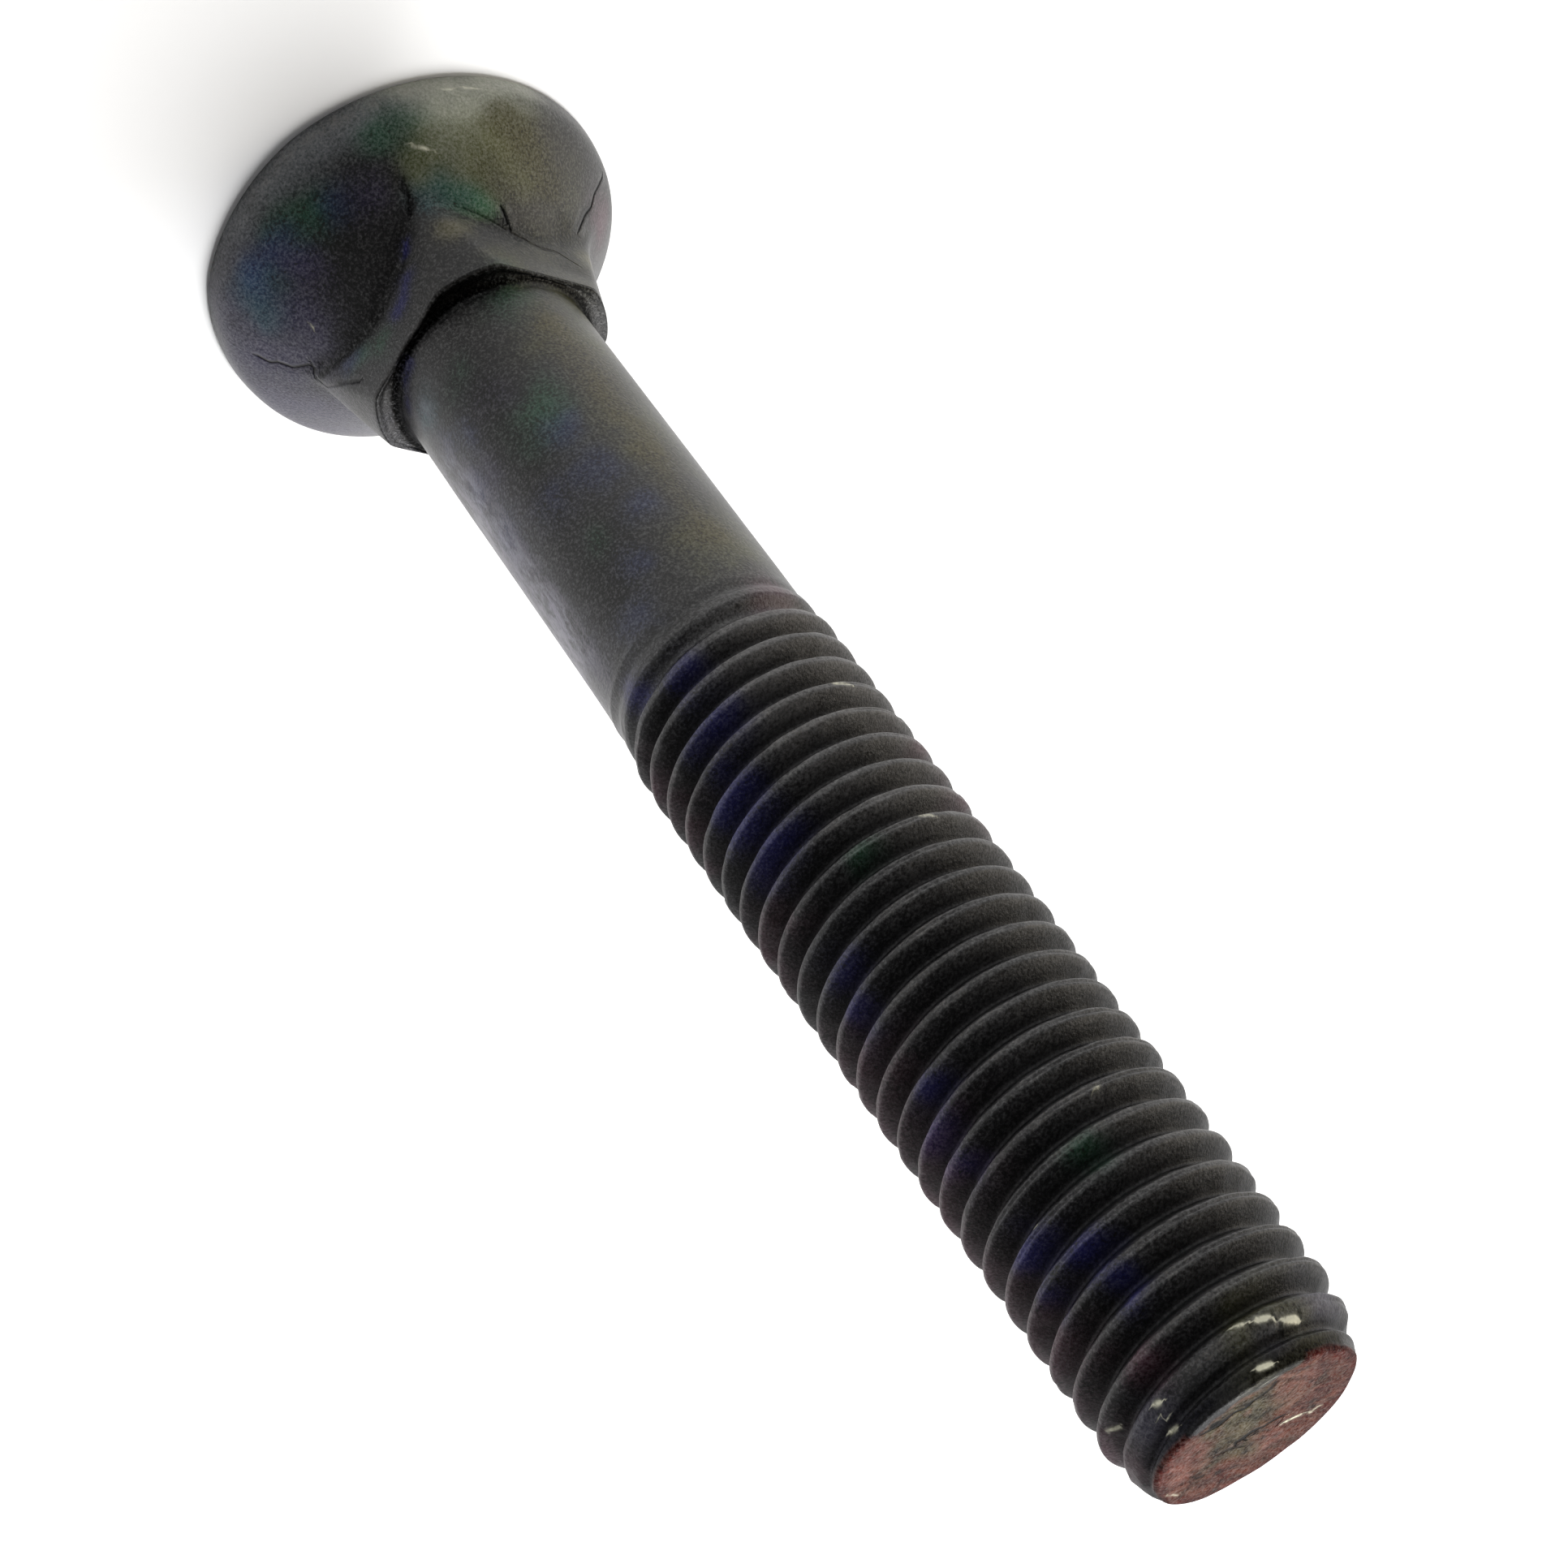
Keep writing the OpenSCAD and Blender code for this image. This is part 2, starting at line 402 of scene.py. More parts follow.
def lineDistance(u, v, line):
    # distance to a line of points, with the sign of the side, and how far past its ends a place is
    nearest = np.full(u.shape, 1e3)
    side, past = nearest.copy(), nearest.copy()
    for (u0, v0), (u1, v1) in zip(line[:-1], line[1:]):
        du, dv = u1 - u0, v1 - v0
        length = np.hypot(du, dv)
        along = ((u - u0) * du + (v - v0) * dv) / length
        held = np.clip(along, 0, length)
        offU, offV = u - u0 - held / length * du, v - v0 - held / length * dv
        distance = np.hypot(offU, offV)
        nearer = distance < nearest
        nearest = np.where(nearer, distance, nearest)
        side = np.where(nearer, np.sign(du * (v - v0) - dv * (u - u0)) * distance, side)
        past = np.where(nearer, np.abs(along - held), past)
    return side, past


def layFlat(angle, radius, height, line):
    # a place and a line of (azimuth, height), both laid flat about the line's first point: arc length
    # across, and height, which the 45 degree cone stretches by the root of 2
    onCone = line[0][1] < bolt["neckEnd"]
    slant = np.sqrt(2) if onCone else 1.0
    middle = line[0][0]
    track = []
    for azimuth, z in line:
        reach = shoulderRadius(np.radians(azimuth), z) if onCone else bolt["shank"]
        track.append((turnFrom(np.radians(azimuth), middle) * reach, z * slant))
    return turnFrom(angle, middle) * radius, height * slant, track


def markLapsAndGlints(x, y, angle, radius, height):
    # signed distance to the nearest lap, tear and painted glint in mm, and its depth, which fades out
    # beside it and past its ends
    lapAndGlintSide, lapAndGlintDepth, closest = 9 + 0 * x, 0 * x, 9 + 0 * x
    # the tears are ragged, because the end is shifted by up to 0.22 mm before they are measured
    tornX, tornY = (c + 0.22 * bumps(x, y, 19, 0.45, seed) for c, seed in ((x, 45), (y, 46)))
    gape = {"head": 1, "side": 1, "end": 0.75}       # below 1, a lap opens wider
    onPart = {
        "head": height < bolt["neckEnd"],
        "side": (height > bolt["threadStart"]) & (radius > 3.7),
        "end": height > endHeight(angle, radius) - 0.15,
    }
    for where in ("head", "side", "end"):
        for depth, line in lapsAndGlints[where]:
            flat = (tornX, tornY, line) if where == "end" else layFlat(angle, radius, height, line)
            side, past = lineDistance(*flat)
            side = side * gape[where]
            nearer = onPart[where] & (np.abs(side) < closest)
            closest = np.where(nearer, np.abs(side), closest)
            lapAndGlintSide = np.where(nearer, side, lapAndGlintSide)
            beside = depth * fade(np.abs(side), 0.5, 0.3) * fade(past, 0.3, 0.1)
            lapAndGlintDepth = np.where(nearer, beside, lapAndGlintDepth)
    return lapAndGlintSide, lapAndGlintDepth


# heat tints, oil and some painted light and shade in the black oxide: (colour, strength, patches of
# (azimuth, height, half width))
oxide = {
    "plain": "#191818",
    "thread": "#161618",
    "threadLit": "#474646",
    "tints": [
        # olive grey tint, painted lighter as light on the lit side of the head
        ("#656854", 0.9, [(17, 1.6, 1.5), (9, 1.4, 1.2), (30, 1.8, 1.2), (16, 2.8, 1.4), (30, 3.0, 1.0)]),
        # painted highlight: a pale glint along the rounded rim on the lit side
        ("#8f9185", 0.9, [(20, 0.9, 1.1), (35, 0.9, 1.2), (8, 0.9, 1.0), (358, 0.8, 0.8)]),
        # dark ground beside it
        ("#12120f", 0.9, [(346, 2.5, 1.3), (338, 3.3, 1.1), (352, 3.6, 0.9)]),
        # grey along the far rim
        ("#54575a", 0.8, [(45, 1.0, 0.9), (53, 1.0, 1.1), (64, 0.9, 1.1), (76, 0.8, 1.0), (92, 0.8, 0.9)]),
        # olive oil
        ("#3f3f1e", 0.85, [(37, 3.3, 0.7), (1, 3.1, 1.2), (11, 3.8, 1.1), (335, 6.0, 1.0), (19, 8.0, 0.7),
            (342, 9.8, 0.9), (2, 13.0, 1.4), (5, 19.0, 1.6), (7.7, 26.4, 1.2), (22, 67.7, 0.7),
            (36, 67.5, 0.5), (40, 68.9, 0.6), (24, 68.7, 0.5), (8, 68.6, 0.5)]),
        # olive tint in the crook of the neck, darkened as painted shade in its hollow
        ("#2b2a12", 0.9, [(347, 6.6, 0.9), (328, 5.1, 0.7), (2, 7.4, 0.8), (340, 7.4, 0.8),
            (336, 3.6, 0.9)]),
        # straw heat tint, also a painted highlight on the neck's corner ridges
        ("#6f6a4c", 0.6, [(27.5, 5.3, 0.4), (40, 6.1, 0.5), (322, 6.0, 0.4)]),
        # nearly black on the near flat, and painted shade down the middle of the shank that faces the
        # camera
        ("#0a0909", 0.85, [(81, 4.0, 1.2), (88, 5.0, 1.1), (103, 4.9, 0.8), (70, 3.9, 0.6), (78, 13, 1.6),
            (82, 24, 1.8)]),
        # lavender
        ("#3c3a4b", 0.85, [(141, 2.4, 2.2), (160, 2.9, 2.6), (119, 1.9, 1.9), (185, 3.0, 2.5),
            (116, 3.8, 1.1), (125, 26.0, 1.5), (126, 17.0, 1.5), (126, 21.0, 1.5), (354, 67.7, 0.6),
            (28, 68.6, 0.5), (100, 68.2, 0.7)]),
        # green
        ("#053e27", 0.8, [(41, 1.9, 0.8), (49, 2.0, 0.7), (81, 2.5, 0.8), (74, 2.9, 0.6), (88, 2.2, 0.5),
            (99, 3.0, 0.4), (22, 5.0, 0.5), (98, 7.3, 0.5), (112, 6.4, 0.5), (57, 16.5, 0.9),
            (26, 9.7, 0.7), (70, 17.7, 0.4), (69, 23.9, 0.5), (51, 59.2, 0.5), (52, 43.9, 0.4),
            (80, 12.4, 0.5)]),
        # pale green
        ("#3d6647", 0.8, [(24, 4.8, 0.45), (31, 4.5, 0.45)]),
        # teal
        ("#15424a", 0.75, [(40, 4.4, 0.6), (33, 4.3, 0.6), (105, 2.4, 0.7), (108, 11.2, 0.5),
            (112, 3.0, 0.6)]),
        # blue
        ("#18254c", 0.7, [(69, 3.1, 0.5), (91, 2.7, 0.8), (102, 2.4, 0.7), (118, 6.0, 0.4), (47, 17.9, 0.6),
            (49, 20.7, 0.7), (78, 20.6, 0.6), (39, 23.6, 0.5), (112, 13.5, 0.5), (114, 16.4, 0.5),
            (113, 19.2, 0.5), (77, 28.4, 0.6), (60, 26.0, 0.5), (92, 14.5, 0.5)]),
        # violet
        ("#262038", 0.8, [(91, 3.8, 0.8), (60, 3.6, 0.6), (110, 3.9, 0.6), (95, 17.0, 0.7),
            (70, 14.0, 0.6)]),
        # deep blue in the thread
        ("#0f0f5a", 0.85, [(72, 32.1, 0.5), (101, 30.7, 0.5), (74, 35.0, 0.7), (85, 38.1, 0.7),
            (91, 39.5, 0.7), (83, 41.1, 0.7), (100, 41.4, 0.5), (92, 47.0, 0.6), (100, 48.7, 0.6),
            (91, 53.4, 0.5), (105, 54.8, 0.6), (98, 56.5, 0.4), (94, 60.6, 0.6), (99, 61.0, 0.5),
            (75, 62.5, 0.5), (69, 64.2, 0.4), (103, 62.6, 0.4)]),
        # rose
        ("#4c2f3a", 0.8, [(311, 2.8, 0.8), (6, 30.3, 0.7), (340, 39.1, 0.7), (337, 42.2, 0.7),
            (130, 33.7, 0.9), (128, 36.6, 0.9), (130, 43.0, 1.3), (133, 50.0, 1.7), (134, 55.6, 1.7),
            (131, 60.0, 1.5), (131, 64.0, 1.3), (82, 66.6, 0.5), (140, 67.5, 1.1)]),
    ],
    # oil, scale and painted shade: (colour, half width, strength, loss of shine, line of (azimuth,
    # height)). The dark lines in the crook and creases of the neck, round the shank's foot and down the
    # shank's middle are painted shade; the olive lines lie on the head, along the shank and on the lip of
    # the end.
    "oilAndShadeLines": [
        # painted shade: the crook round the near flat, black and navy, where shade falls
        ("#0b0b0d", 0.13, 0.9, 0.8, [(47.4, 3.5), (47.0, 3.9), (47.7, 4.4)]),
        ("#08080a", 0.24, 0.95, 0.9, [(47.7, 4.4), (52.4, 4.9), (58.1, 5.4), (65.9, 5.95)]),
        ("#070707", 0.3, 0.95, 0.9, [(66.0, 5.9), (77.4, 6.2), (88.7, 6.3), (102.8, 6.2), (115.0, 5.8),
            (125.6, 5.3), (133.0, 4.8)]),
        ("#0c0c44", 0.3, 0.9, 0.2, [(57.5, 5.3), (60.5, 5.7)]),
        ("#0c0c44", 0.55, 0.85, 0.2, [(67.0, 6.5), (74.0, 6.9), (82.0, 7.1)]),
        ("#0b0b0b", 0.3, 0.8, 0.6, [(128.0, 5.1), (136.0, 4.8), (146.0, 5.2)]),
        # painted shadow along the right crook and its crease
        ("#0a0b06", 0.16, 0.8, 0.6, [(41.7, 5.1), (31.4, 5.5), (20.1, 5.85), (7.3, 6.2)]),
        ("#060606", 0.12, 0.9, 0.9, [(7.3, 6.2), (4.0, 6.3)]),
        ("#0b0b08", 0.18, 0.8, 0.7, [(352.5, 6.4), (344.0, 6.3), (337.5, 6.3), (329.0, 6.4)]),
        ("#0b0b0b", 0.22, 0.75, 0.6, [(321.5, 3.2), (323.6, 3.8), (325.5, 4.4), (328.0, 5.0)]),
        # painted shadow, navy, round the shank's foot under the neck
        ("#0c0c3c", 0.2, 0.85, 0.5, [(94.5, 9.05), (108.5, 9.2), (121.6, 9.7), (133.0, 10.0)]),
        # painted shade down the middle of the shank
        ("#0b0a0a", 1.2, 0.7, 0.42, [(80, 12.0), (80, 27.0)]),
        ("#34321d", 1.0, 0.75, 0.34, [(10, 2.0), (354, 3.4), (348, 4.0)]),
        # dark olive, partly painted shade in the hollow of the right crook
        ("#1d1b0c", 1.0, 0.85, 0.8, [(333, 4.9), (338, 7.4)]),
        ("#3a3416", 0.9, 0.75, 0.25, [(16, 10.5), (16, 26.5)]),
        ("#2b2913", 0.24, 0.85, 0.7, [(46.0, 69.2), (36.0, 69.1), (26.0, 69.0), (12.0, 68.9),
            (356.0, 68.8)]),
        ("#17162a", 0.2, 0.6, 0.5, [(70.0, 68.9), (95.0, 68.8), (118.0, 68.6)]),
    ],
    "paintedShadeColour": "#050505",
    # the sheared end: its ground, then (colour, strength, patches of (x, y, half width))
    "end": "#4a2f27",
    "endPale": "#644a40",
    "endDark": "#211c14",
    "endRim": "#3e1712",
    "endPatches": [
        # grey green
        ("#403f31", 0.9, [(1.0, 2.2, 0.7), (1.1, 0.5, 0.7), (0.4, 2.4, 0.5), (0.3, 0.6, 0.7),
            (-1.4, 0.6, 0.5), (-1.4, -0.3, 0.4), (-0.1, 2.5, 0.4), (-1.5, -1.3, 0.35), (1.7, 1.4, 0.5),
            (-0.6, 1.3, 0.5)]),
        # pink
        ("#5c3d37", 0.85, [(2.4, 0.0, 0.5), (-1.5, 3.1, 0.5), (-1.1, 2.7, 0.5), (-2.2, 2.1, 0.6),
            (-0.9, -1.9, 0.4)]),
        # brown
        ("#3a1f19", 0.85, [(1.9, -2.4, 0.5), (1.4, -2.2, 0.5), (3.1, -0.7, 0.5), (-2.8, -0.9, 0.5),
            (0.2, -3.4, 0.4)]),
        # black pits
        ("#15130b", 0.85, [(-2.75, 0.5, 0.22), (0.63, 2.7, 0.16), (-1.0, 1.3, 0.16), (-0.9, 0.1, 0.2),
            (-1.9, 0.9, 0.2)]),
    ],
}


def tintSurface(x, y, angle, radius, height):
    # plain oxide colour, then each tint laid over it by a bell of its patches' widths, and the bare end
    tint = np.tile(np.array(colour(oxide["plain"])), (len(x), 1))

    def cover(hexCode, amount):
        amount = np.clip(amount, 0, 1)[:, None]
        tint[:] = tint * (1 - amount) + np.array(colour(hexCode)) * amount

    # the patches are ragged: their places are shifted by two sizes of swell
    raggedU, raggedV = (bumps(angle, height, 19, 1.3, coarse) + 0.5 * bumps(angle, height, 43, 0.6, fine)
                        for coarse, fine in ((21, 22), (23, 24)))
    threadBegins = bolt["threadStart"] + 0.6 * towards(angle, 149) + 0.4 * raggedU
    cover(oxide["thread"], fade(height, threadBegins - 0.3, threadBegins + 1.6))
    # painted light: the side of the thread that faces the light is made lighter, most near its start
    lit = fade(height, 29, 31) * fade(towards(angle, 12), 0.45, 0.95)
    cover(oxide["threadLit"], (0.35 + 0.65 * fade(height, 50, 36)) * lit)
    for hexCode, strength, patches in oxide["tints"]:
        amount = 0 * x
        for azimuth, z, width in patches:
            u = turnFrom(angle, azimuth) * radius + 0.7 * width * raggedU
            v = (height - z) * np.where(height < 8, 1.4, 1.0) + 0.7 * width * raggedV
            amount += np.exp(-(u ** 2 + v ** 2) / (2 * width ** 2))
        cover(hexCode, strength * (1 - np.exp(-1.3 * amount)))

    # painted shade: the crook of the neck and the ring at its end are made dark where shade falls, and oil
    # and more painted shade lie along a few lines
    crook = np.exp(-((coneRadius(angle, height) - neckRadius(angle, height)) / 0.5) ** 2)
    crook = crook * fade(height, 3.8, 4.8)
    foot = fade(radius, 5.15, 5.0) + fade(towards(angle, 20), 0.3, 0.8)
    ringTop = 8.95 + 0.2 * fade(towards(angle, 85), 0.3, 0.9) + 0.05 * raggedU
    ring = fade(height, 8.55, 8.68) * fade(height, ringTop, 8.82)
    shadeAndOil = np.clip(0.5 * crook + ring * np.clip(foot, 0.25, 1), 0, 1) * (height < 10)
    cover(oxide["paintedShadeColour"], 0.9 * shadeAndOil)
    for hexCode, width, strength, dullness, line in oxide["oilAndShadeLines"]:
        side, past = lineDistance(*layFlat(angle, radius, height, line))
        away = np.hypot(side, past) + 0.45 * width * raggedU
        lineDarkening = strength * np.exp(-(away / width) ** 2) * (radius > 3.7)
        cover(hexCode, lineDarkening)
        shadeAndOil = np.maximum(shadeAndOil, dullness * lineDarkening)

    # the sheared end is bare, up to a ragged lip on its highest side that keeps the oxide
    lip = x * np.cos(np.radians(50)) + y * np.sin(np.radians(50))
    lip += 0.25 * bumps(angle, height, 17, 1.0, 12) + 0.15 * bumps(angle, height, 47, 1.0, 13)
    under = endHeight(angle, radius) - height
    bareEnd = fade(under, 0.28, 0.12) * fade(lip, 3.5, 3.2)
    cover(oxide["end"], bareEnd)
    raggedX, raggedY = bumps(x, y, 9, 0.7, 43), bumps(x, y, 9, 0.7, 44)
    for hexCode, strength, patches in oxide["endPatches"]:
        amount = 0 * x
        for placeX, placeY, width in patches:
            u, v = x - placeX + 0.7 * width * raggedX, y - placeY + 0.7 * width * raggedY
            amount += np.exp(-(u ** 2 + v ** 2) / (2 * width ** 2))
        cover(hexCode, bareEnd * strength * (1 - np.exp(-1.5 * amount)))
    cover(oxide["endPale"], bareEnd * fade(bumps(x, y, 13, 0.5, 41), 0.1, 0.8) * 0.5)
    cover(oxide["endDark"], bareEnd * fade(bumps(x, y, 17, 0.4, 42), 0.2, 0.8) * 0.6)
    cover(oxide["endRim"], bareEnd * fade(radius, 3.5, 4.2) * 0.8)
    return tint, bareEnd, shadeAndOil


def finishMasks(piece):
    # the numbers that the finish reads on each point of the surface; gives back their names
    mesh = piece.data
    points = np.empty(len(mesh.vertices) * 3)
    mesh.vertices.foreach_get("co", points)
    x, y, height = points.reshape(-1, 3).T / mm
    offX, offY = centreLine(height)
    x, y = x - offX, y - offY
    angle, radius = np.arctan2(y, x) % turn, np.hypot(x, y)
    lapAndGlintSide, lapAndGlintDepth = markLapsAndGlints(x, y, angle, radius, height)
    tint, bareEnd, shadeAndOil = tintSurface(x, y, angle, radius, height)
    q = fromCrest(angle, height)
    onThread = fade(height, bolt["threadStart"] + 1, bolt["threadStart"] + 4) * (1 - bareEnd)
    # crests and rim: partly wear, partly a painted highlight, made lighter only on the side the light falls
    # on
    crestEdge = np.exp(-((q - 0.06) / 0.035) ** 2) * onThread * fade(towards(angle, 20), 0.2, 0.9)
    crestEdge = crestEdge * fade(bumps(angle, height, 13, 2.5, 28), -0.2, 0.6)
    rimEdge = np.exp(-((height - 0.75) / 0.3) ** 2) * fade(towards(angle, 30), 0.2, 0.9)
    neckEdge = np.exp(-((height - bolt["neckEnd"] + 0.1) / 0.12) ** 2) * fade(radius, 4.8, 5.0)
    # one side is scuffed from neck to thread: a sharp ragged edge at 108 degrees, and a slow one
    # on the far side
    ragged = bumps(angle, height, 23, 1.6, 26) + 0.7 * bumps(angle, height, 47, 0.8, 27)
    turned = np.degrees(angle) + 4 * ragged
    scuffed = fade(turned, 101, 114) * fade(turned, 190, 128)
    scuffed = scuffed * fade(height + 1.5 * ragged, 10, 14) * fade(height + 1.2 * ragged, 30, 26)
    scuffed = scuffed * (0.7 + 0.3 * bumps(angle, height, 9, 3.5, 30))
    values = {
        "lapAndGlintSide": lapAndGlintSide,
        "lapAndGlintDepth": lapAndGlintDepth,
        "bareEnd": bareEnd,
        "edgeWearAndHighlight": 0.6 * crestEdge + 0.7 * rimEdge + 0.15 * neckEdge,
        "scuffed": scuffed,
        # painted shade: the roots of the thread are darkened where shade falls in them
        "groove": fade(radius, 4.9, 4.2) * onThread,
        "shadeAndOil": shadeAndOil,
        "dullness": 0.28 * bareEnd + (0.11 - 0.05 * towards(angle, -31)) * onThread + 0.06 * shadeAndOil,
    }
    for name, value in values.items():
        layer = mesh.attributes.new(name, "FLOAT", "POINT")
        layer.data.foreach_set("value", value.astype(np.float32))
    layer = mesh.attributes.new("tint", "FLOAT_COLOR", "POINT")
    layer.data.foreach_set("color", tint.astype(np.float32).ravel())
    return list(values)


maskNames = finishMasks(forgedBolt)
print("bolt: finish masks")


# sizes of the patterns in mm, and what they do
finish = {
    "grain": 0.13,           # satin grain, drawn about three times its real size so that it shows
    "mottle": 2.4,           # clouds in the oxide film
    "rub": 0.5,              # breaks in the scuffs, the edge wear and highlights and the glints
    "tear": 0.38,            # torn grain of the sheared end
    "tearTowards": 59,       # across the shear, in degrees
    "lapAndGlintWidth": 0.085,
    "lipWidth": 0.12,        # how far to each side of a lap its lips are finished
    "specks": 0.048,         # lightest and darkest speck, as an addition to the colour
    "roughness": 0.30,       # of the film, before its clouds add up to 0.16
    "ior": 1.42,             # of the oil that the film holds
    "lapColour": "#070707",
    "wearAndHighlightColour": "#8d8984",
    "paleColour": "#c9c7b2",
    "scuffColour": "#93919e",
    "grooveShadeColour": "#0c0c0d",
}


def blackOxideSteel(maskNames):
    # forged carbon steel in an oiled black oxide: a thin dark film, satin, nearly black face on and pale at
    # grazing angles, with heat tints, rubbed crests partly painted lighter as a highlight, painted shade
    # and painted glints, and a sheared end that shows the brown bare metal
    material = bpy.data.materials.new("blackOxideSteel")
    material.use_nodes = True
    tree = material.node_tree
    tree.nodes.clear()
    where = addNode(tree, "ShaderNodeTexCoord").outputs["Object"]
    marks = {name: addNode(tree, "ShaderNodeAttribute", {"attribute_name": name}).outputs["Fac"]
             for name in maskNames}
    tint = addNode(tree, "ShaderNodeAttribute", {"attribute_name": "tint"}).outputs["Color"]

    # patterns: the breaks in the scuffs, edge highlights and glints run along the bolt, and the torn grain
    # across the shear
    grain = addNode(tree, "ShaderNodeTexNoise", inputs={
        "Vector": where, "Scale": 1 / (finish["grain"] * mm), "Detail": 3, "Roughness": 0.7}).outputs["Fac"]
    mottle = addNode(tree, "ShaderNodeTexNoise", inputs={
        "Vector": where, "Scale": 1 / (finish["mottle"] * mm), "Detail": 4}).outputs["Fac"]
    drawn = addNode(tree, "ShaderNodeMapping", inputs={
        "Vector": where, "Scale": (1, 1, 0.4)}).outputs["Vector"]
    rub = addNode(tree, "ShaderNodeTexNoise", inputs={
        "Vector": drawn, "Scale": 1 / (finish["rub"] * mm), "Detail": 6, "Roughness": 0.75}).outputs["Fac"]
    turned = addNode(tree, "ShaderNodeMapping", inputs={
        "Vector": where, "Rotation": (0, 0, np.radians(finish["tearTowards"])),
        "Scale": (1, 0.5, 1)}).outputs["Vector"]
    tear = addNode(tree, "ShaderNodeTexNoise", inputs={
        "Vector": turned, "Scale": 1 / (finish["tear"] * mm), "Detail": 5,
        "Roughness": 0.65}).outputs["Fac"]

    # a lap: depth times exp(-(side / width)^2). Where the depth is negative it is a pale broken streak, a
    # painted glint.
    across = addNode(tree, "ShaderNodeMath", {"operation": "MULTIPLY"}, {
        0: marks["lapAndGlintSide"], 1: 1 / finish["lapAndGlintWidth"]}).outputs[0]
    squared = addNode(tree, "ShaderNodeMath", {"operation": "MULTIPLY"}, {0: across, 1: across}).outputs[0]
    negative = addNode(tree, "ShaderNodeMath", {"operation": "MULTIPLY"}, {0: squared, 1: -1.0}).outputs[0]
    bell = addNode(tree, "ShaderNodeMath", {"operation": "EXPONENT"}, {0: negative}).outputs[0]
    signed = addNode(tree, "ShaderNodeMath", {"operation": "MULTIPLY"}, {
        0: bell, 1: marks["lapAndGlintDepth"]}).outputs[0]
    paleShare = addNode(tree, "ShaderNodeMapRange", inputs={
        "Value": rub, "From Min": 0.35, "From Max": 0.60, "To Min": 0.0, "To Max": -1.6}).outputs["Result"]
    pale = addNode(tree, "ShaderNodeMath", {"operation": "MULTIPLY", "use_clamp": True}, {
        0: signed, 1: paleShare}).outputs[0]
    lap = addNode(tree, "ShaderNodeMath", {"operation": "MULTIPLY", "use_clamp": True}, {
        0: signed, 1: 1.0}).outputs[0]

    # how far the worn and highlighted edges and the scuffed side are broken up
    brokenEdges = addNode(tree, "ShaderNodeMapRange", inputs={
        "Value": rub, "From Min": 0.40, "From Max": 0.66}).outputs["Result"]
    wearAndHighlight = addNode(tree, "ShaderNodeMath", {"operation": "MULTIPLY"}, {
        0: brokenEdges, 1: marks["edgeWearAndHighlight"]}).outputs[0]
    brokenScuff = addNode(tree, "ShaderNodeMapRange", inputs={
        "Value": rub, "From Min": 0.40, "From Max": 0.56}).outputs["Result"]
    scuff = addNode(tree, "ShaderNodeMath", {"operation": "MULTIPLY"}, {
        0: brokenScuff, 1: marks["scuffed"]}).outputs[0]

    # colour: the tint times grain and mottle, or times the torn grain on the bare end
    grainShade = addNode(tree, "ShaderNodeMapRange", inputs={
        "Value": grain, "From Min": 0.3, "From Max": 0.7, "To Min": 0.88, "To Max": 1.12}).outputs["Result"]
    mottleShade = addNode(tree, "ShaderNodeMapRange", inputs={
        "Value": mottle, "From Min": 0.3, "From Max": 0.7, "To Min": 0.7, "To Max": 1.3}).outputs["Result"]
    shade = addNode(tree, "ShaderNodeMath", {"operation": "MULTIPLY"}, {
        0: grainShade, 1: mottleShade}).outputs[0]
    tearShade = addNode(tree, "ShaderNodeMapRange", inputs={
        "Value": tear, "From Min": 0.32, "From Max": 0.68,
        "To Min": 0.45, "To Max": 1.55}).outputs["Result"]
    shadeAll = addNode(tree, "ShaderNodeMix", {"data_type": "FLOAT"}, {
        "Factor": marks["bareEnd"], 2: shade, 3: tearShade}).outputs[0]
    film = addNode(tree, "ShaderNodeVectorMath", {"operation": "SCALE"}, {
        0: tint, "Scale": shadeAll}).outputs[0]
    # specks: lighter and darker by the same amount everywhere, so they show most where the film is dark
    specks = addNode(tree, "ShaderNodeMapRange", inputs={
        "Value": grain, "From Min": 0.3, "From Max": 0.7,
        "To Min": -finish["specks"], "To Max": finish["specks"]}).outputs["Result"]
    film = addNode(tree, "ShaderNodeVectorMath", {"operation": "ADD"}, {0: film, 1: specks}).outputs[0]
    colours = addNode(tree, "ShaderNodeVectorMath", {"operation": "MAXIMUM"}, {
        0: film, 1: (0.0005,) * 3}).outputs[0]
    # over it the painted shade in the grooves, the scuffs, the edge wear and painted highlights, the
    # painted glints and the laps
    for amount, strength, hexCode in ((marks["groove"], 0.7, finish["grooveShadeColour"]),
                                      (scuff, 0.7, finish["scuffColour"]),
                                      (wearAndHighlight, 0.5, finish["wearAndHighlightColour"]),
                                      (pale, 0.9, finish["paleColour"]),
                                      (lap, 0.95, finish["lapColour"])):
        share = addNode(tree, "ShaderNodeMath", {"operation": "MULTIPLY", "use_clamp": True}, {
            0: amount, 1: strength}).outputs[0]
        colours = addNode(tree, "ShaderNodeMix", {"data_type": "RGBA"}, {
            "Factor": share, 6: colours, 7: colour(hexCode)}).outputs[2]

